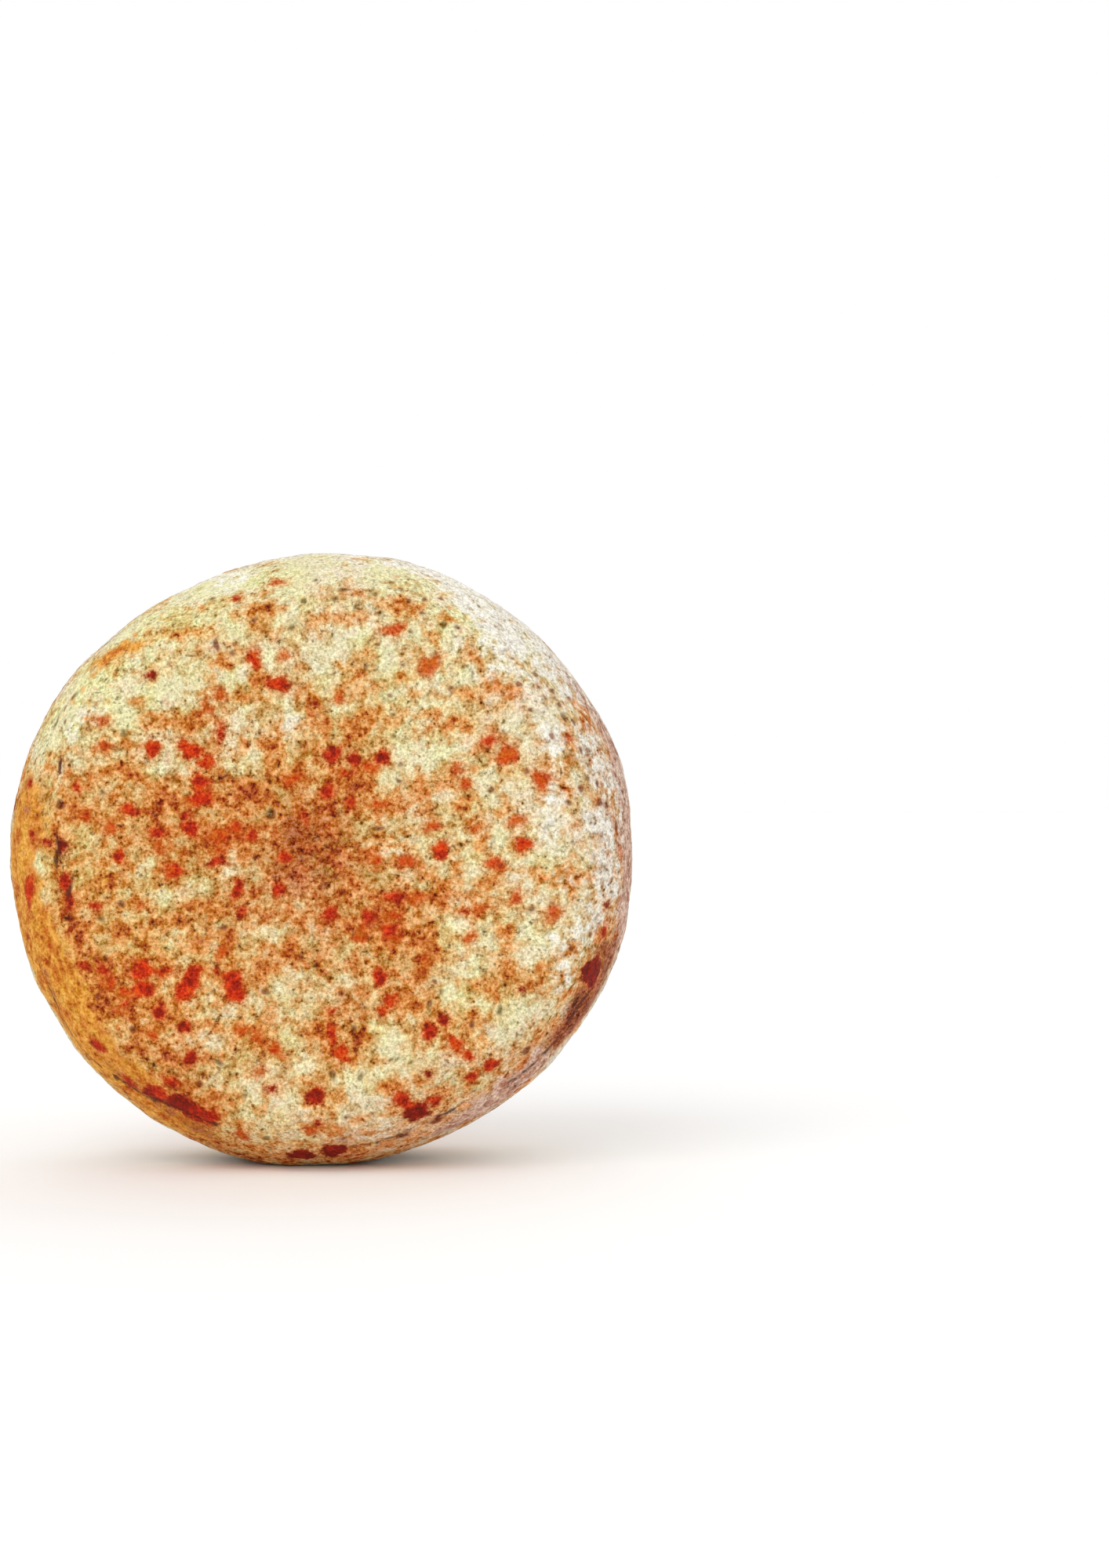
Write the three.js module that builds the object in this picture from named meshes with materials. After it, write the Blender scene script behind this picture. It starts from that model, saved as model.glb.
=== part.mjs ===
// A whole wheel of pressed mountain cheese with a natural rind, standing on its rim.
// Millimetres, +Z up. The wheel's axis runs along Y and its best face looks towards -Y.
// The origin is under the middle of the wheel, on the surface that it stands on.
// A "clock" angle runs clockwise from the top, as seen by someone who faces the best face.

import * as THREE from "three";
import { ImprovedNoise } from "three/addons/math/ImprovedNoise.js";
import { mergeVertices } from "three/addons/utils/BufferGeometryUtils.js";

// Driving dimensions
const wheelDiameter = 260;
const wheelThickness = 103;
const footFlattening = 2.6; // how far the paste has settled where the rim carries the weight

// The heel bulges from face to face as half of a superellipse. reach is how far in from
// the rim's widest line each face begins, and squareness is 2 for a true ellipse.
const frontHeel = { reach: 36, squareness: 2.2 };
const backHeel = { reach: 29, squareness: 2.45 };

// The outline is out of round by a few soft waves: how many lobes go round the wheel, how
// high each is, and the clock angle of its first crest.
const outlineWaves = [
  { lobes: 2, height: 1.3, crest: 74 },
  { lobes: 3, height: 0.5, crest: 60 },
  { lobes: 4, height: 0.65, crest: 20 },
  { lobes: 6, height: 0.45, crest: 6 },
];

// The press board and the shelf leave each face a little hollow, and one side thinner.
const faceHollow = 1.4;
const faceTaper = { lobes: 1, height: 0.9, crest: 130 };

// Where the lid of the mould met its wall, the rim is creased on stretches of each side.
// face is -1 at the front and 1 at the back, clock is the middle of a stretch, halfLength
// is in degrees, and inset is how far the crease lies in from the rim's widest line.
const rimCreases = [
  { face: -1, clock: 272, halfLength: 44, inset: 17, halfWidth: 4, depth: 1.9 },
  { face: -1, clock: 142, halfLength: 56, inset: 11, halfWidth: 3.5, depth: 1.6 },
  { face: -1, clock: 20, halfLength: 34, inset: 9, halfWidth: 3.5, depth: 0.9 },
  { face: 1, clock: 215, halfLength: 60, inset: 13, halfWidth: 4, depth: 1.7 },
  { face: 1, clock: 60, halfLength: 48, inset: 10, halfWidth: 3.5, depth: 1.3 },
];

// The cloth of the press was gathered at the middle of each face, and its folds left
// shallow furrows that fan out from there. The shares are of a face's radius.
const clothFolds = { count: 11, depth: 0.7, innerShare: 0.12, outerShare: 0.7, wander: 1.6 };

// Lumps and pits of the dried rind, coarse to fine: distance between crests and height.
const rindLumps = [
  { spacing: 52, height: 1.5 },
  { spacing: 27, height: 1.1 },
  { spacing: 15, height: 0.8 },
];
const lumpOrigin = new THREE.Vector3(141, 421, 516); // each origin is another wheel's lumps

// Mesh cells across a face, and over the heel from one face to the other
const faceCells = 32;
const heelCells = 24;

const degree = Math.PI / 180;
const wheelRadius = wheelDiameter / 2;
const halfThickness = wheelThickness / 2;
const noise = new ImprovedNoise();

// Height of a wave of so many lobes at a clock angle in radians
function wave({ lobes, height, crest }, clock) {
  return height * Math.cos(lobes * (clock - crest * degree));
}

// Bell-shaped fall from 1 in the middle to 0.37 at halfWidth away from it
function bell(distance, halfWidth) {
  return Math.exp(-((distance / halfWidth) ** 2));
}

// Clock angle and distance from the middle, 0 to 1, of a point on a square of half width
// 1. The square's rings become circles, and its cells stay about the same size.
function squareToDisc(x, z) {
  const share = Math.max(Math.abs(x), Math.abs(z));
  if (share === 0) return { clock: 0, share };
  const sideways = Math.abs(x) > Math.abs(z);
  const along = sideways ? z / x : x / z;
  const eighth = Math.PI / 4;
  const clock = sideways ? 2 * eighth - eighth * along : eighth * along;
  return { clock: clock + ((sideways ? x : z) < 0 ? Math.PI : 0), share };
}

function outlineRadius(clock) {
  return outlineWaves.reduce((radius, lobes) => radius + wave(lobes, clock), wheelRadius);
}

// How far a point of the smooth wheel lies in from the outline, and how far out from the
// wheel's middle plane. depth runs from -1, the front face, to 1, the back.
function heelSection(depth) {
  const { reach, squareness } = depth < 0 ? frontHeel : backHeel;
  const swing = (depth * Math.PI) / 2;
  const power = 2 / squareness;
  return {
    inset: reach * (1 - Math.abs(Math.cos(swing)) ** power),
    axial: halfThickness * Math.sign(depth) * Math.abs(Math.sin(swing)) ** power,
  };
}

// Furrows of the gathered cloth, deepest half way along
function foldHeight(share, clock) {
  const { count, depth, innerShare, outerShare, wander } = clothFolds;
  const along = THREE.MathUtils.clamp((share - innerShare) / (outerShare - innerShare), 0, 1);
  const bend = wander * noise.noise(2 * Math.sin(clock), 2 * Math.cos(clock), 2 * share);
  const crease = Math.max(0, Math.cos(count * clock + bend * Math.PI)) ** 3;
  return -depth * crease * Math.sin(Math.PI * along);
}

function rimCreaseHeight(face, inset, clock) {
  return rimCreases
    .filter((crease) => crease.face === face)
    .reduce((height, crease) => {
      const turn = THREE.MathUtils.euclideanModulo(clock / degree - crease.clock + 180, 360);
      const along = bell(turn - 180, crease.halfLength);
      return height - crease.depth * along * bell(inset - crease.inset, crease.halfWidth);
    }, 0);
}

function lumpHeight(point) {
  const { x, y, z } = point.clone().add(lumpOrigin);
  return rindLumps.reduce(
    (sum, { spacing, height }) =>
      sum + height * noise.noise(x / spacing, y / spacing, z / spacing),
    0,
  );
}

// A block with a grid on every side becomes the wheel: two of its sides turn into the
// round faces, and the four between them into the heel. creases holds how high the folds
// and the rim's creases raise each point, which is less than 0 in a furrow.
function smoothWheel() {
  const block = new THREE.BoxGeometry(2, 2, 2, faceCells, heelCells, faceCells);
  block.deleteAttribute("normal");
  block.deleteAttribute("uv");
  const geometry = mergeVertices(block, 1e-4);
  const place = geometry.getAttribute("position");
  const creases = [];
  for (let i = 0; i < place.count; i++) {
    const depth = place.getY(i);
    const { clock, share } = squareToDisc(place.getX(i), place.getZ(i));
    const { inset, axial } = heelSection(depth);
    const radius = share * (outlineRadius(clock) - inset);
    const hollow = faceHollow * (1 - share ** 2) * Math.sign(depth);
    const y = axial - hollow + wave(faceTaper, clock) * share * depth;
    place.setXYZ(i, radius * Math.sin(clock), y, radius * Math.cos(clock));
    const onFace = Math.abs(depth) === 1;
    const rimCrease = share === 1 ? rimCreaseHeight(Math.sign(depth), inset, clock) : 0;
    creases.push(rimCrease + (onFace ? foldHeight(share, clock) : 0));
  }
  return { geometry, creases };
}

// Moves each point of the rind along its normal by the lumps and creases there
function roughenRind(geometry, creases) {
  geometry.computeVertexNormals();
  const place = geometry.getAttribute("position");
  const normals = geometry.getAttribute("normal");
  for (let i = 0; i < place.count; i++) {
    const point = new THREE.Vector3().fromBufferAttribute(place, i);
    const normal = new THREE.Vector3().fromBufferAttribute(normals, i);
    point.addScaledVector(normal, lumpHeight(point) + creases[i]);
    place.setXYZ(i, point.x, point.y, point.z);
  }
  geometry.deleteAttribute("normal");
}

// Centres the wheel over the origin, and presses its lowest points flat on the surface
// that it stands on
function standOnFoot(geometry) {
  geometry.computeBoundingBox();
  const { min, max } = geometry.boundingBox;
  geometry.translate(-(min.x + max.x) / 2, -(min.y + max.y) / 2, -min.z - footFlattening);
  const place = geometry.getAttribute("position");
  for (let i = 0; i < place.count; i++) {
    place.setZ(i, Math.max(0, place.getZ(i)));
  }
}

function wheelGeometry() {
  const { geometry, creases } = smoothWheel();
  roughenRind(geometry, creases);
  standOnFoot(geometry);
  return geometry;
}

const rind = new THREE.MeshStandardMaterial({
  color: new THREE.Color().setRGB(210 / 255, 158 / 255, 104 / 255, THREE.SRGBColorSpace),
  roughness: 0.85,
  metalness: 0,
});

const cheeseWheel = new THREE.Mesh(wheelGeometry(), rind);
cheeseWheel.name = "cheese_wheel";

const cheese = new THREE.Group();
cheese.add(cheeseWheel);

export default cheese;
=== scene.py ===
import math

import bpy
import numpy as np
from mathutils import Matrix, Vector
from mathutils.bvhtree import BVHTree


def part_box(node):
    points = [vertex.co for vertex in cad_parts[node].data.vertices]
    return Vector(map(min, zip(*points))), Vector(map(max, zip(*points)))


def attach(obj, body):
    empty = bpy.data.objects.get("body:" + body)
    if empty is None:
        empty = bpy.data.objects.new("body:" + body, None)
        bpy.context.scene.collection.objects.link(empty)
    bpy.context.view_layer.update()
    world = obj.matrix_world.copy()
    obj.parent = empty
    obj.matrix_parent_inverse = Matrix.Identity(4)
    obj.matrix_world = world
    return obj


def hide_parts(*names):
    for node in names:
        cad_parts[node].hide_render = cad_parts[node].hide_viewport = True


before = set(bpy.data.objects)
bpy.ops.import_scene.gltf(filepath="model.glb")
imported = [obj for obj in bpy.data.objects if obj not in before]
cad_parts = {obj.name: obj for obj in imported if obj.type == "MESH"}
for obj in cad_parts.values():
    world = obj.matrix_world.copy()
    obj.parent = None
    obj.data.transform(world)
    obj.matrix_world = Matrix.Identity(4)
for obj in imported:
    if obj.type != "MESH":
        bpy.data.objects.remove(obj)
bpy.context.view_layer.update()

# A whole wheel of mountain cheese with a natural rind. Lengths in the settings below are in
# millimetres unless a note says otherwise. A place on the best face is (x, z): right of and
# above the wheel's middle, as it is seen from the camera.
mm = 0.001
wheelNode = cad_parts["cheese_wheel"]
wheelLow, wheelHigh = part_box("cheese_wheel")
wheelMiddle = (wheelLow + wheelHigh) / 2


def deselectAll():
    if bpy.context.object and bpy.context.object.mode != "OBJECT":
        bpy.ops.object.mode_set(mode="OBJECT")
    bpy.ops.object.select_all(action="DESELECT")


def makeActive(piece):
    deselectAll()
    piece.select_set(True)
    bpy.context.view_layer.objects.active = piece


def applyModifier(piece, kind, settings):
    makeActive(piece)
    modifier = piece.modifiers.new(kind.lower(), kind)
    for name, value in settings.items():
        setattr(modifier, name, value)
    bpy.ops.object.modifier_apply(modifier=modifier.name)


class Wire:
    # one value in a shader; an expression on wires adds its Math nodes
    def __init__(self, finish, socket):
        self.finish = finish
        self.socket = socket

    def maths(self, operation, *operands):
        return self.finish.node("Math", {"operation": operation}, dict(enumerate(operands)))

    def __add__(self, other):
        return self.maths("ADD", self, other)

    def __sub__(self, other):
        return self.maths("SUBTRACT", self, other)

    def __rsub__(self, other):
        return self.maths("SUBTRACT", other, self)

    def __mul__(self, other):
        return self.maths("MULTIPLY", self, other)

    def __truediv__(self, other):
        return self.maths("DIVIDE", self, other)

    __radd__ = __add__
    __rmul__ = __mul__

    def __abs__(self):
        return self.maths("ABSOLUTE", self)

    def rise(self, low, high):
        # smooth step from 0 at low to 1 at high
        return self.finish.node("MapRange", {"interpolation_type": "SMOOTHSTEP"},
                                {"Value": self, "From Min": low, "From Max": high})

    def cut(self):
        # held between 0 and 1
        return self.maths("MINIMUM", self.maths("MAXIMUM", self, 0.0), 1.0)


class Finish:
    # a material that is built node by node
    def __init__(self, name):
        self.material = bpy.data.materials.new(name)
        self.material.use_nodes = True
        self.tree = self.material.node_tree
        self.tree.nodes.clear()
        self.place = self.node("TexCoord", output="Object")

    def node(self, kind, settings=None, sockets=None, output=0):
        made = self.tree.nodes.new("ShaderNode" + kind)
        for name, value in (settings or {}).items():
            if name == "stops":
                self.setStops(made.color_ramp, value)
            else:
                setattr(made, name, value)
        for name, value in (sockets or {}).items():
            if isinstance(value, Wire):
                self.tree.links.new(value.socket, made.inputs[name])
            else:
                made.inputs[name].default_value = value
        return Wire(self, made.outputs[output]) if made.outputs else None

    def setStops(self, ramp, stops):
        while len(ramp.elements) > 1:
            ramp.elements.remove(ramp.elements[-1])
        for index, (position, colour) in enumerate(stops):
            element = ramp.elements[0] if index == 0 else ramp.elements.new(position)
            element.position = position
            element.color = paint(*colour)

    def vector(self, operation, first, second=None, output="Vector"):
        operands = {0: first} if second is None else {0: first, 1: second}
        return self.node("VectorMath", {"operation": operation}, operands, output)

    def noise(self, size, detail=2.0, roughness=0.6, shift=0.0, place=None):
        # cloudy noise around 0, with features of that size in millimetres
        moved = self.vector("ADD", place or self.place, (shift, shift * 0.7, -shift * 1.3))
        cloud = self.node("TexNoise", {}, {"Vector": moved, "Scale": 1 / (size * mm),
                                           "Detail": detail, "Roughness": roughness})
        return cloud - 0.5

    def mix(self, first, second, share, blend="MIX"):
        return self.node("Mix", {"data_type": "RGBA", "blend_type": blend},
                         {0: share, 6: first, 7: second}, output=2)

    def attribute(self, name):
        return self.node("Attribute", {"attribute_name": name}, output="Fac")


def paint(red, green, blue):
    # screen colour, each 0 to 255, as the linear colour that a shader takes
    def linear(value):
        value /= 255
        return value / 12.92 if value <= 0.04045 else ((value + 0.055) / 1.055) ** 2.4
    return linear(red), linear(green), linear(blue), 1.0


view = {
    "distance": 1250,        # from the lens to the wheel's middle plane
    "right": 97.9,           # where the lens is, from the wheel's middle
    "above": 30.7,
    "frameHeight": 662.8,    # what the picture takes in at the wheel's middle plane
    "sensor": 36,
}


def makeCamera():
    data = bpy.data.cameras.new("camera")
    data.sensor_fit = "VERTICAL"
    data.sensor_height = view["sensor"]
    data.lens = view["sensor"] * view["distance"] / view["frameHeight"]
    camera = bpy.data.objects.new("camera", data)
    camera.location = wheelMiddle + Vector((view["right"], -view["distance"], view["above"])) * mm
    camera.rotation_euler = (math.pi / 2, 0, 0)
    bpy.context.scene.collection.objects.link(camera)
    bpy.context.scene.camera = camera
    bpy.context.view_layer.update()
    return camera


light = {
    "world": 0.43,
    "backdrop": 1.0,         # how bright the camera sees the world
    "key": {"strength": 1.05, "angle": 50, "from": (-38, -66, 56), "colour": (1.0, 0.99, 0.97)},
    "fill": {"strength": 0.52, "angle": 80, "from": (80, -80, 10), "colour": (1.0, 1.0, 1.0)},
    "top": {"strength": 0.9, "angle": 90, "from": (0, -10, 100), "colour": (1.0, 1.0, 1.0)},
    "back": {"strength": 0.8, "angle": 80, "from": (20, 80, 40), "colour": (1.0, 0.99, 0.98)},
}


def makeLights():
    for name in ("key", "fill", "top", "back"):
        lamp = light[name]
        data = bpy.data.lights.new(name, "SUN")
        data.energy = lamp["strength"]
        data.angle = math.radians(lamp["angle"])
        data.color = lamp["colour"]
        sun = bpy.data.objects.new(name, data)
        sun.rotation_euler = Vector(lamp["from"]).to_track_quat("Z", "Y").to_euler()
        bpy.context.scene.collection.objects.link(sun)
    world = bpy.data.worlds.new("studio")
    world.use_nodes = True
    nodes = world.node_tree.nodes
    path = nodes.new("ShaderNodeLightPath")
    seen = nodes.new("ShaderNodeMapRange")
    seen.inputs["To Min"].default_value = light["world"]
    seen.inputs["To Max"].default_value = light["backdrop"]
    world.node_tree.links.new(path.outputs["Is Camera Ray"], seen.inputs["Value"])
    world.node_tree.links.new(seen.outputs["Result"], nodes["Background"].inputs["Strength"])
    nodes["Background"].inputs["Color"].default_value = (1, 1, 1, 1)
    bpy.context.scene.world = world
    bpy.context.scene.view_settings.view_transform = "Standard"


def makeFloor():
    deselectAll()
    bpy.ops.mesh.primitive_plane_add(size=30, location=(0, 0, 0))       # 30 m, past the view
    floor = bpy.context.object
    floor.name = "floor"
    finish = Finish("floor_white")
    shade = finish.node("BsdfPrincipled", {}, {"Base Color": paint(255, 255, 255),
                                               "Roughness": 0.9})
    finish.node("OutputMaterial", {}, {"Surface": shade})
    floor.data.materials.append(finish.material)


relief = {
    "subdivisions": 2,
    "crags": {"size": 9, "height": 0.9, "detail": 3, "noise": "SOFT_NOISE"},
    "pits": {"size": 5, "height": 0.55, "detail": 2, "noise": "HARD_NOISE"},
    "bloomLift": 0.35,
    "bloomSteepness": 1.6,   # how sharply a raised bloom ends at its edge
    "creviceDepth": 0.9,
    "heelTilt": 0.36,        # how far a normal leans to a face where the heel's mould ends
    "hiddenFrom": -30,       # depth from the middle plane; behind it the camera sees little
    "seed": 7,
}


def copyWheel():
    mesh = wheelNode.data.copy()
    mesh.name = "cheese_rind"
    mesh.materials.clear()
    rind = bpy.data.objects.new("cheese_rind", mesh)
    bpy.context.scene.collection.objects.link(rind)
    makeActive(rind)
    bpy.ops.mesh.customdata_custom_splitnormals_clear()
    bpy.ops.object.mode_set(mode="EDIT")
    bpy.ops.mesh.select_all(action="SELECT")
    bpy.ops.mesh.remove_doubles(threshold=0.01 * mm)
    bpy.ops.mesh.tris_convert_to_quads(face_threshold=math.radians(60),
                                       shape_threshold=math.radians(80))
    bpy.ops.object.mode_set(mode="OBJECT")
    applyModifier(rind, "SUBSURF", {"levels": relief["subdivisions"],
                                    "render_levels": relief["subdivisions"]})
    return rind


def meshPoints(mesh):
    # every point and its normal, in millimetres from the wheel's middle
    count = len(mesh.vertices)
    points = np.empty(count * 3, np.float32)
    normals = np.empty(count * 3, np.float32)
    mesh.vertices.foreach_get("co", points)
    mesh.vertex_normals.foreach_get("vector", normals)
    points = points.reshape(-1, 3).astype(float) - np.array(wheelMiddle)
    return points / mm, normals.reshape(-1, 3).astype(float)


def storeAttribute(mesh, name, values):
    mesh.attributes.new(name, "FLOAT", "POINT")
    mesh.attributes[name].data.foreach_set("value", values.astype(np.float32))


class Rind:
    # places on the wheel's surface and the fields that are painted there
    def __init__(self, piece, camera):
        self.points, self.normals = meshPoints(piece.data)
        self.tree = BVHTree.FromObject(piece, bpy.context.evaluated_depsgraph_get())
        self.eye = camera.location.copy()

    def seenAt(self, x, z):
        # the point and normal that the camera sees at that place of the wheel's middle plane
        aim = wheelMiddle + Vector((x, 0, z)) * mm
        hit, normal, _, _ = self.tree.ray_cast(self.eye, aim - self.eye)
        if hit is None:
            hit, normal, _, _ = self.tree.find_nearest(aim)
        return np.array((hit - wheelMiddle) / mm), np.array(normal)

    def outline(self, clock):
        # how far the wheel's outline is from its middle, in a strip 6 mm wide at that clock angle
        angle = math.radians(clock)
        along = self.points[:, 0] * math.sin(angle) + self.points[:, 2] * math.cos(angle)
        across = self.points[:, 0] * math.cos(angle) - self.points[:, 2] * math.sin(angle)
        return along[np.abs(across) < 3].max()

    def nearest(self, spot, reach):
        gap = self.points - spot
        near = np.flatnonzero((gap ** 2).sum(1) < reach ** 2)
        return near, gap[near]

    def hidden(self):
        return np.flatnonzero(self.points[:, 1] > relief["hiddenFrom"])


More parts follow.
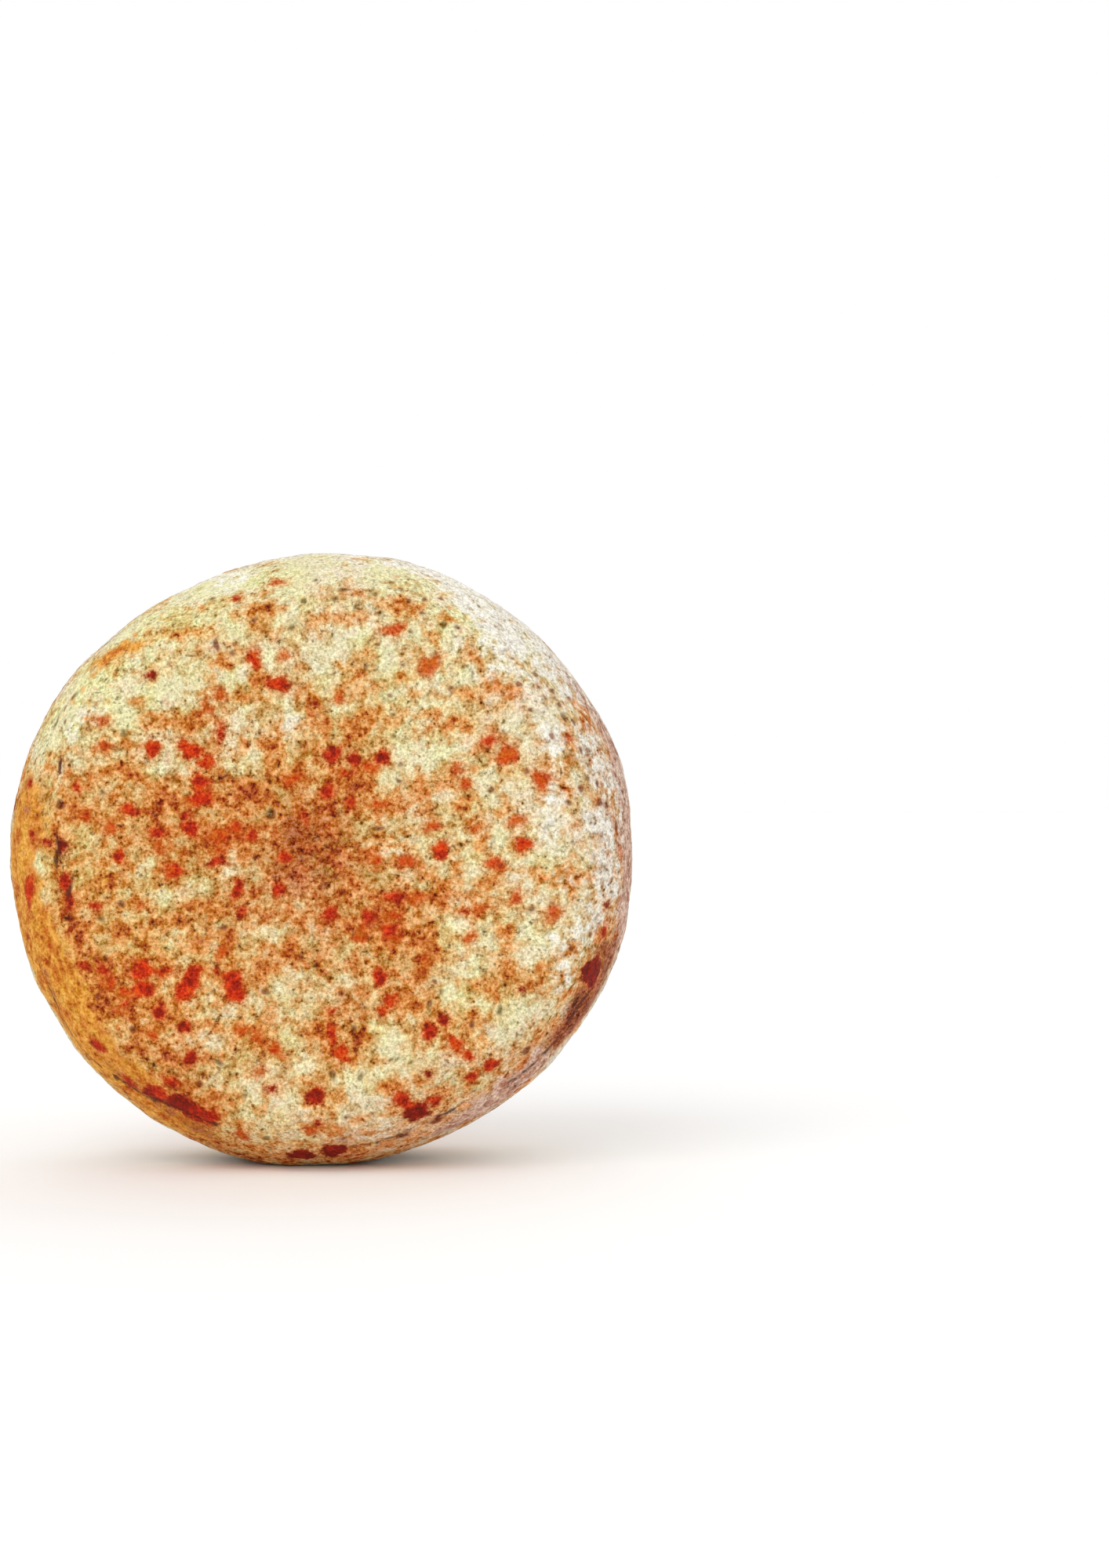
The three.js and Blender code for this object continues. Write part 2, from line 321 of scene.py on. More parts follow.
# Soft strokes that tint the rind: (x, z, reach, strength)
strokes = {
    "bare": [                # less mould, so that the tan and rust of the rind shows
        (-3, 8, 20, 0.46), (-11, 16, 8, 0.12), (5, 12, 8, 0.1), (-16, -8, 11, 0.25),
        (9, -9, 13, 0.2), (4, -22, 10, 0.2), (-45, 14, 24, 0.24), (-78, 14, 18, 0.2),
        (-22, 36, 10, 0.1), (14, 41, 11, 0.2), (26, -24, 13, 0.2), (50, -17, 10, 0.08),
        (43, -43, 9, 0.1), (-95, -45, 20, 0.22), (-78, -64, 18, 0.2), (-62, -100, 12, 0.35),
        (-48, -108, 10, 0.3), (-108, 26, 12, 0.2), (-108, -18, 12, 0.3), (0, 54, 10, 0.17),
        (20, 54, 9, 0.08), (72, 61, 9, 0.1), (5, 26, 9, 0.22), (-48, 64, 9, 0.08),
        (-65, 60, 8, 0.08), (-40, -26, 14, 0.2), (-84, -34, 14, 0.1), (-62, -36, 12, 0.08),
        (-14, -40, 8, 0.1), (76, -53, 10, 0.12), (78, 70, 8, 0.1), (98, 42, 7, 0.1),
        (4, -78, 9, 0.1), (-58, -84, 10, 0.1), (38, -62, 10, 0.08), (-16, -116, 9, 0.08),
        (-88, -88, 10, 0.12), (-60, 0, 12, 0.1), (52, -78, 8, 0.1), (8, -60, 30, 0.15),
        (-12, -38, 14, 0.06), (14, -86, 12, 0.08), (38, -8, 8, 0.1), (70, 66, 10, 0.06),
        (97, 60, 7, 0.1), (12, 60, 10, 0.08), (34, -36, 10, 0.08), (10, -64, 14, 0.08),
        (34, 106, 12, 0.06), (-36, -58, 14, 0.05),
    ],
    "cream": [               # thick mould
        (-44, 116, 14, 0.35), (-68, 106, 12, 0.34), (-10, 118, 14, 0.3), (0, 127, 12, 0.36),
        (-86, 94, 8, 0.2), (-104, 74, 9, 0.3), (-24, 126, 10, 0.3), (26, 118, 12, 0.3),
        (44, 113, 12, 0.2), (-48, 92, 12, 0.08), (58, 106, 12, 0.22), (80, 92, 16, 0.45),
        (100, 72, 14, 0.28), (86, 56, 10, 0.14), (-62, 77, 12, 0.2), (-84, 68, 12, 0.24),
        (-106, 58, 11, 0.2), (10, 90, 11, 0.14), (27, 78, 8, 0.08), (36, 48, 11, 0.12),
        (52, 71, 8, 0.08), (75, 22, 8, 0.1), (96, 14, 12, 0.26), (82, -7, 8, 0.1),
        (92, -18, 10, 0.2), (90, -37, 10, 0.12), (64, -40, 10, 0.1), (-12, -58, 11, 0.14),
        (-30, -100, 11, 0.14), (-14, -102, 9, 0.1), (30, -82, 12, 0.16), (14, -98, 11, 0.14),
        (56, -60, 10, 0.12), (80, -69, 11, 0.2), (94, -64, 8, 0.12), (-97, 7, 6, 0.15),
        (110, 6, 10, 0.2), (100, 50, 8, 0.1), (110, -24, 9, 0.18), (80, 40, 50, 0.06),
        (20, -90, 40, 0.04), (50, 88, 26, 0.12), (-84, 58, 15, 0.1), (-34, 108, 16, 0.12),
        (84, 62, 15, 0.16), (12, 102, 14, 0.12), (-121, -2, 5, 0.4), (-119, -18, 4, 0.3),
        (60, -10, 12, 0.08), (-118, 50, 8, 0.2), (-122, 38, 6, 0.2), (-60, 62, 14, 0.12),
        (20, 72, 22, 0.08), (96, 62, 14, 0.08), (-22, 82, 18, 0.07),
    ],
    "white": [               # dense white mould
        (79, 92, 14, 0.9), (68, 102, 8, 0.5), (90, 78, 8, 0.2), (56, 111, 9, 0.25),
        (97, 30, 10, 0.3), (97, -2, 9, 0.2), (100, 46, 7, 0.3), (112, 40, 6, 0.3),
        (118, 34, 7, 0.25), (117, 14, 9, 0.45), (120, -8, 8, 0.5), (96, 57, 7, 0.4),
        (80, 56, 6, 0.2), (70, 78, 8, 0.2), (96, 14, 8, 0.3), (54, 91, 4, 0.25),
        (-95, 62, 7, 0.25), (-105, 54, 7, 0.3), (-40, 116, 10, 0.45), (-13, 56, 6, 0.25),
        (-36, 57, 5, 0.15), (-80, 78, 8, 0.2), (-27, -62, 5, 0.1), (-20, -102, 7, 0.15),
        (112, -28, 7, 0.3), (102, -48, 6, 0.25), (83, -8, 6, 0.3), (36, 46, 7, 0.15),
        (8, 122, 12, 0.2), (104, -10, 9, 0.2), (-62, 108, 8, 0.2), (-64, 38, 6, 0.15),
        (12, 93, 8, 0.2), (97, -36, 6, 0.35), (16, -104, 5, 0.15), (26, 84, 6, 0.15),
    ],
    "amber": [               # waxy honey-coloured tint, mostly along the left rim
        (-127, 26, 7, 0.5), (-127, 8, 10, 0.8), (-125, -24, 9, 0.8), (-119, -38, 10, 1.0),
        (-111, -54, 11, 1.0), (-106, -68, 9, 0.9), (-96, -80, 7, 0.7), (-84, -89, 6, 0.6),
        (-97, 82, 3.5, 0.6), (-91, 85, 3.5, 0.7), (-85, 88, 3.5, 0.6), (-79, 89, 3.5, 0.6),
        (-72, 92, 3, 0.3), (-74, -94, 5, 0.4), (-121, -2, 5, -0.8), (-119, -17, 4, -0.7),
        (-120, 44, 7, -0.4), (-58, -112, 5, 0.3), (-92, -10, 4, 0.3), (-112, 12, 5, 0.3),
    ],
    "rose": [                # grey pink of the heel's mould
        (106, -80, 5, 0.3), (90, -86, 7, 0.7), (78, -97, 8, 0.95), (66, -107, 8, 0.9),
        (54, -114, 7, 0.7), (36, -122, 5, 0.3), (126, 6, 5, 0.6), (123, 34, 6, 0.5),
        (126, -20, 5, 0.5), (102, 62, 6, 0.3), (116, 44, 5, 0.3), (112, 16, 5, 0.2),
        (101, -58, 5, 0.3), (110, 64, 4, 0.2),
    ],
    "umber": [               # brown and dark red, darker along the rim's lower side
        (118, -40, 5, 1.0), (110, -58, 5, 1.0), (106, -66, 5, 0.9), (100, -75, 4, 0.7),
        (94, -80, 4, 0.4), (86, -82, 3, 0.3), (48, -111, 3, 0.4), (34, -117, 4, 0.4),
        (8, -120, 5, 0.4), (-50, -112, 7, 0.5), (-64, -103, 6, 0.5), (-78, -97, 4, 0.3),
        (-112, 2, 4, 0.5), (-109, -14, 5, 0.3), (-5, 10, 12, 0.2), (-14, 0, 7, 0.3),
        (-12, 14, 6, 0.35), (-94, 90, 3, 0.4), (-98, 84, 3, 0.3), (-125, 20, 4, 0.4),
        (-117, -50, 3, 0.5), (-114, -58, 3, 0.5), (112, 55, 3, 0.3),
    ],
    "lemon": [               # yellower mould
        (-60, 85, 30, 0.35), (-100, 62, 22, 0.2), (-30, 112, 24, 0.2), (-120, 0, 26, 0.6),
        (-112, -60, 26, 0.6), (30, 74, 30, 0.3), (-90, -95, 22, 0.4), (80, -30, 26, 0.2),
        (0, 60, 34, 0.1), (50, 108, 20, 0.2), (20, -85, 24, 0.2), (-30, -100, 20, 0.3),
        (60, -60, 18, 0.25), (-76, 30, 26, 0.3), (-60, -40, 26, 0.3), (-84, -20, 24, 0.4),
        (0, 32, 16, 0.5),
    ],
    "blush": [               # pinker, cooler mould
        (105, 70, 24, 0.6), (122, 25, 22, 0.9), (122, -15, 20, 0.8), (100, -82, 20, 0.9),
        (70, -108, 20, 0.9), (-2, 6, 18, 0.4), (84, 66, 14, 0.4), (20, -118, 18, 0.4),
        (9, -52, 8, 0.4), (-20, -92, 7, 0.3), (-34, 56, 6, 0.3), (48, -92, 10, 0.4),
        (8, 108, 14, 0.4), (-14, 56, 8, 0.2), (96, 58, 18, 0.3), (-12, -10, 14, 0.35),
        (38, -106, 14, 0.35), (84, -12, 14, 0.25), (-108, 60, 12, 0.2), (84, -84, 14, 0.2),
    ],
    "ruddy": [               # where the rind under the mould is more orange
        (-88, 6, 20, 0.45), (-72, -64, 18, 0.7), (-62, 102, 12, 0.3), (-80, 86, 9, 0.35),
        (60, -104, 16, 0.25), (-56, -108, 12, 0.4), (-8, -110, 12, 0.35), (84, -42, 12, 0.2),
        (34, -62, 12, 0.3), (44, -106, 12, 0.25), (-31, 102, 9, 0.3), (-82, -24, 12, 0.35),
        (-98, -50, 18, 0.4), (-34, 20, 16, 0.3), (20, -24, 16, 0.2), (-26, -78, 12, 0.3),
        (4, -100, 14, 0.2), (-30, 84, 18, -0.35), (14, 80, 20, -0.25), (-58, 58, 12, -0.25),
        (84, 40, 20, -0.2), (-46, -58, 22, 0.4), (60, -80, 16, 0.3), (34, -104, 14, 0.5),
        (-72, 38, 14, -0.3), (-60, -106, 12, 0.3), (-10, -108, 14, 0.35), (-8, -8, 12, -0.2),
        (60, 106, 16, 0.3),
    ],
}
strayStrokes = {"count": 260, "reach": (7, 24), "strength": 0.16}
strokeSpan = 2.6             # how many reaches out from its middle a stroke is painted

# Bands of the same tints along the best face's rim: (clock from, clock to, inset, reach,
# strength). A clock angle runs from the top to the right, and the inset is from the outline.
rimBands = {
    "cream": [
        (-50, 36, 1, 12, 0.25), (-60, -18, 6, 10, 0.15), (-24, 14, 6, 12, 0.3),
        # the band from 160 to 206 is painted light: it lightens the lower rim, where the wheel
        # stands in shade
        (-80, -52, 4, 8, 0.25), (140, 172, 2, 4, 0.1), (160, 206, 10, 8, 0.2),
    ],
    "ruddy": [
        # along the lower rim these are painted to offset the shade there, with a more orange colour
        (150, 226, 8, 10, 0.6), (160, 272, 1, 9, 0.7),
    ],
    "bare": [
        # the band from 164 to 208 thins the mould on the lower rim, painted to offset the shade
        # there
        (164, 208, 1, 8, 0.3), (192, 222, 7, 10, 0.1), (108, 130, 5, 5, 0.2),
        (312, 342, 9, 5, 0.15),
    ],
    "white": [
        (14, 56, 1, 12, 0.8), (52, 104, 8, 9, 0.45), (96, 122, 15, 8, 0.3), (-30, 16, 0, 3, 0.4),
        (-30, 40, 1, 11, 0.15), (40, 84, 1, 10, 0.2),
    ],
    "amber": [
        (206, 276, 1, 12, 0.6), (228, 284, 4, 10.5, 1.0), (200, 230, 5, 8, 0.6),
        (296, 328, 5, 3, 0.5),
    ],
    "rose": [
        (46, 108, 1, 10, 0.75), (52, 80, 3, 4, 0.3), (76, 106, 3, 4, 0.4), (130, 160, 2, 4, 0.9),
    ],
    "umber": [
        (104, 130, 3, 6, 1.3), (134, 164, 7, 3, 0.3), (166, 194, 2, 2.5, 0.4),
        (196, 230, 4, 4, 0.45), (60, 106, 1, 2, 0.2),
    ],
    "lemon": [
        (-66, -10, 6, 12, 0.5), (196, 285, 6, 14, 0.5),
    ],
    "blush": [
        (60, 112, 5, 14, 0.7), (112, 180, 5, 12, 0.8),
    ],
}
bandShape = {
    "step": 3.0,             # degrees from one stroke to the next
    "atEnds": 0.4,           # share of the strength at a band's ends
    "fade": 12,              # degrees over which it would grow by the whole strength
}


def softSpot(rind, spot, reach):
    # the points that a stroke reaches, and its share there, which is 1 in its middle
    near, gap = rind.nearest(spot, reach * strokeSpan)
    return near, np.exp(-(gap ** 2).sum(1) / reach ** 2)


def stroke(rind, total, spot, reach, strength):
    near, share = softSpot(rind, spot, reach)
    total[near] += strength * share


def rimBand(rind, total, start, end, inset, reach, strength):
    # the highest of a chain of strokes, which fade towards both ends of the band
    band = np.zeros(len(rind.points))
    for clock in np.arange(start, end + 1, bandShape["step"]):
        ending = min(clock - start, end - clock) / bandShape["fade"]
        angle = math.radians(clock)
        radius = rind.outline(clock) - inset
        spot = rind.seenAt(radius * math.sin(angle), radius * math.cos(angle))[0]
        near, share = softSpot(rind, spot, reach)
        fall = strength * min(1, bandShape["atEnds"] + ending) * share
        band[near] = np.maximum(band[near], fall)
    total += band


def paintStrokes(rind, draw):
    fields = {}
    for name, places in strokes.items():
        fields[name] = np.zeros(len(rind.points))
        for x, z, reach, strength in places:
            stroke(rind, fields[name], rind.seenAt(x, z)[0], reach, strength)
        for band in rimBands.get(name, []):
            rimBand(rind, fields[name], *band)
    for index in draw.choice(rind.hidden(), strayStrokes["count"]):
        name = "cream" if draw.random() < 0.5 else "bare"
        reach = draw.uniform(*strayStrokes["reach"])
        stroke(rind, fields[name], rind.points[index], reach, strayStrokes["strength"])
    return fields


# Blooms of red mould on the best face: (x, z, half width, half height), and for one that
# isn't upright its turn in degrees
faceBlooms = {
    "vermilion": [
        (-76, -48, 5.4, 4.4), (-76, -56, 4.6, 4.6), (-55, -50, 4.0, 4.2, -20),
        (-59, -57, 3.8, 4.4, -20), (-38, -51, 4.6, 3.4, -10), (-37, -58, 4.2, 4.4),
        (-56, 45, 6.0, 3.6, -25), (-49, 40, 4.2, 3.4, -20), (-52, 31, 3.8, 4.4),
        (-51, 25, 5.2, 4.2), (-63, -6, 3.8, 3.4), (-86, 0, 2.6, 3.0, 15), (-72, 46, 3.4, 3.8),
        (-82, 20, 4.8, 2.8), (-124, -14, 3.4, 6.4, -10), (56, -79, 4.0, 3.0, -40),
        (61, -84, 3.6, 2.2, -45), (71, -88, 3.6, 3.4), (4, -75, 2.4, 4.8, 12), (8, -83, 3.6, 3.6),
        (-19, 73, 5.4, 3.4), (-29, 84, 3.0, 4.4, 12), (50, 3, 3.8, 4.4, -25),
        (29, -61, 3.8, 2.8, 42), (25, -65, 2.8, 2.0, 30), (85, 5, 4.0, 3.0, 20),
        (-56, -54, 4.0, 5.0, -10), (-38, -54, 4.4, 4.0),
    ],
    "scarlet": [
        (-70, 10, 4.6, 2.8), (-56, 12, 4.0, 4.2), (-45, -2, 3.6, 2.8, 15), (4, 43, 4.6, 4.0),
        (13, 41, 3.0, 3.8), (25, 42, 3.6, 3.8, 20), (2, 27, 3.2, 4.0), (12, 23, 3.0, 2.2),
        (70, 49, 3.6, 2.8), (45, -74, 3.6, 3.8), (51, -69, 2.6, 2.4), (24, -51, 3.8, 3.8, 30),
        (-69, -66, 3.4, 3.8), (-58, -72, 3.0, 2.6, 20), (-56, -85, 3.2, 3.6),
        (33, -102, 4.0, 3.4, -40), (47, -103, 3.0, 3.4, 35), (-3, -101, 4.4, 4.0),
        (-30, 9, 3.2, 3.0), (3, -24, 4.4, 3.4), (-36, -14, 2.8, 4.6, -20), (-34, -23, 3.0, 2.4),
        (-109, -11, 3.2, 4.2, -10), (-107, -18, 2.4, 5.4, 10), (-43, 53, 2.0, 5.0),
        (-37, 109, 1.9, 1.9), (-16, 0, 3.2, 3.2), (-19, -14, 3.4, 3.2, 25),
        (-64, -95, 4.2, 2.8, -20), (-48, -110, 3.8, 5.8), (-96, -21, 2.8, 2.4),
        (63, -93, 2.8, 2.8, 20), (-8, 17, 1.8, 4.4, 14), (-117, 6, 3.0, 1.8),
        (-82, -95, 3.2, 4.2, 20), (4, -65, 2.4, 1.8), (-95, -80, 4.2, 3.4, -25),
        (30, -17, 5.6, 3.0), (19, -25, 3.4, 3.4), (28, -31, 3.8, 3.6, 30),
        (-93, -48, 3.2, 2.4, -20), (-101, -46, 2.8, 2.4), (60, -23, 2.4, 1.6, 15),
        (119, -31, 2.0, 4.0, -8), (-104, 29, 2.4, 2.4), (-84, -62, 3.0, 2.2, 30),
        (-45, -48, 2.0, 1.6), (-2, -112, 2.2, 1.6), (104, 50, 1.6, 1.7), (126, 2, 1.4, 2.2),
        (-124, 31, 1.9, 2.6), (-70, -100, 7.0, 4.4, -30), (-54, -108, 6.0, 4.6, -25),
        (36, -105, 4.2, 2.8), (-58, 17, 2.6, 2.2), (-123, 10, 1.6, 2.6),
    ],
    "carmine": [
        (-73, 77, 2.8, 2.2, 25), (-22, -98, 2.3, 2.1), (114, -49, 6.8, 7.4, -8),
        (40, -108, 6.4, 5.0, 20), (-61, -104, 7.4, 5.2, -16), (5, -124, 5.0, 5.6),
        (-71, -101, 5.0, 3.2, -30), (84, -56, 1.8, 1.7), (-110, 4, 2.2, 3.4),
        (-9, -126, 5.4, 5.0), (44, -92, 1.7, 1.5), (120, -20, 1.6, 2.0),
    ],
    "orange": [
        (-19, 116, 3.2, 2.4, 10), (-16, 85, 2.6, 2.6), (-43, 68, 3.4, 2.6),
        (-49, 63, 2.8, 2.8, 30), (30, 96, 4.2, 2.6), (45, 81, 3.6, 4.6, -35), (78, 43, 4.8, 4.4),
        (92, 33, 4.2, 3.6), (60, 31, 2.6, 2.8), (57, 37, 2.4, 2.4), (82, 15, 3.4, 2.4, 10),
        (73, -3, 3.8, 2.8), (35, -2, 3.8, 3.2), (22, -1, 2.8, 3.2), (46, 13, 3.0, 2.4, 20),
        (82, -17, 2.3, 2.9), (98, -24, 3.4, 3.4), (62, -34, 2.6, 2.4), (-20, -81, 3.2, 3.0, -25),
        (-27, -91, 3.6, 2.2, 15), (-43, -41, 1.8, 3.4, -30), (-34, -73, 3.2, 2.0, -10),
        (-72, -75, 2.2, 2.4), (-23, -25, 2.2, 1.8), (-93, 47, 3.0, 1.8, 10),
        (-90, 12, 2.6, 2.8, 60), (-5, -116, 3.0, 2.4, 30), (-34, -118, 3.4, 3.4),
        (-28, -76, 2.4, 2.6, 30), (66, -22, 3.2, 2.0, 10), (39, -18, 3.6, 2.2),
        (-44, 9, 4.4, 3.2), (-13, 33, 3.4, 2.6), (43, -45, 2.2, 3.2), (24, 22, 3.0, 2.0, 10),
        (-100, 18, 2.8, 2.0, 60), (-67, -49, 4.2, 2.6), (20, 37, 3.0, 2.2), (-93, 57, 2.4, 1.8),
        (7, 68, 2.2, 2.0), (65, 12, 1.9, 1.9), (-77, -21, 1.8, 1.8), (16, -33, 3.2, 3.6),
        (-84, -58, 4.0, 3.0), (-91, -53, 3.8, 3.0), (-37, 12, 2.2, 4.4), (-43, 3, 3.0, 2.2),
        (30, -35, 3.2, 2.6), (9, 36, 4.8, 1.8), (29, -25, 3.4, 2.0), (-57, 23, 2.2, 2.4),
        (-69, 4, 2.0, 3.4), (-85, -66, 2.4, 1.8),
    ],
}
bloomKinds = {               # tone runs from 0, deep carmine, to 1, orange; lift is raised relief
    "vermilion": {"tone": 0.62, "softness": 0.0, "lift": 1.0, "strayShare": 0.25},
    "scarlet": {"tone": 0.44, "softness": 0.1, "lift": 0.8, "strayShare": 0.25},
    "carmine": {"tone": 0.1, "softness": 0.0, "lift": 0.5, "strayShare": 0.1},
    "orange": {"tone": 0.84, "softness": 0.45, "lift": 0.4, "strayShare": 0.4},
}
strayBlooms = {              # on the back and the back half of the heel
    "count": 430,            # with the blooms of the best face
    "clearance": 7.5,
    "smallest": 1.5,
    "largest": 5.0,
    "onFace": 0.0,           # share of them that is kept on the best face and on the heel
    "onHeel": 0.25,
    "smallAtMost": 1.7,      # the largest size there
}
toneSpread = 0.06            # how far the tones of one kind differ, to either side

# A bloom's or patch's outline waves in and out: lobes round it, and share of its size
edgeWaves = ((2, 0.1), (3, 0.1), (5, 0.06))
edgeReach = 9                # how far outside its outline a bloom or patch still counts
farAway = 12.0               # distance that is kept where no bloom or crack is near


def bloomList(rind, draw):
    blooms = []
    strayShares = [kind["strayShare"] for kind in bloomKinds.values()]
    for kind, places in faceBlooms.items():
        for x, z, *shape in places:
            spot, normal = rind.seenAt(x, z)
            blooms.append({"spot": spot, "normal": normal, "kind": kind, "shape": shape})
    while len(blooms) < strayBlooms["count"]:
        index = draw.integers(len(rind.points))
        spot, normal = rind.points[index], rind.normals[index]
        facing = normal[1]       # -1 on the best face, 0 on the heel and 1 on the back
        onFace = facing < -0.8
        onHeel = abs(facing) < 0.4
        share = strayBlooms["onFace"] if onFace else strayBlooms["onHeel"] if onHeel else 1
        if -0.8 < facing < 0.05 or draw.random() > share:
            continue
        gaps = [np.linalg.norm(bloom["spot"] - spot) for bloom in blooms]
        if min(gaps) < strayBlooms["clearance"]:
            continue
        size = strayBlooms["smallest"] + draw.random() ** 2 * (
            strayBlooms["largest"] - strayBlooms["smallest"])
        if onFace or onHeel:
            size = min(size, strayBlooms["smallAtMost"])
        kind = draw.choice(list(bloomKinds), p=strayShares)
        turn = draw.uniform(0, 180)
        shape = (size, size * draw.uniform(0.6, 1.0), turn)
        blooms.append({"spot": spot, "normal": normal, "kind": kind, "shape": shape})
    return blooms


def raggedEdge(rind, draw, spot, normal, wide, tall, turn=0):
    # the points near a ragged oval, and their distances in millimetres from its outline,
    # less than 0 inside it
    near, gap = rind.nearest(spot, max(wide, tall) + edgeReach)
    across = np.cross((0, 0, 1), normal)
    if np.linalg.norm(across) < 0.1:       # where the normal points up or down
        across = np.array((1.0, 0, 0))
    across /= np.linalg.norm(across)
    along = gap @ across
    rise = gap @ np.cross(normal, across)
    turn = math.radians(turn)
    u = (along * math.cos(turn) + rise * math.sin(turn)) / wide
    v = (rise * math.cos(turn) - along * math.sin(turn)) / tall
    angle = np.arctan2(v, u)
    ragged = 1.0
    for (lobes, share), phase in zip(edgeWaves, draw.uniform(0, 2 * math.pi, len(edgeWaves))):
        ragged = ragged + share * np.sin(lobes * angle + phase)
    return near, (np.hypot(u, v) / ragged - 1) * min(wide, tall)


def paintBlooms(rind, draw):
    count = len(rind.points)
    fields = {"edge": np.full(count, farAway), "tone": np.full(count, 0.5),
              "soft": np.ones(count), "lift": np.zeros(count)}
    for bloom in bloomList(rind, draw):
        kind = bloomKinds[bloom["kind"]]
        near, edge = raggedEdge(rind, draw, bloom["spot"], bloom["normal"], *bloom["shape"])
        closer = edge < fields["edge"][near]
        changed = near[closer]
        fields["edge"][changed] = edge[closer]
        fields["tone"][changed] = kind["tone"] + draw.uniform(-toneSpread, toneSpread)
        fields["soft"][changed] = kind["softness"]
        fields["lift"][changed] = kind["lift"]
    return fields


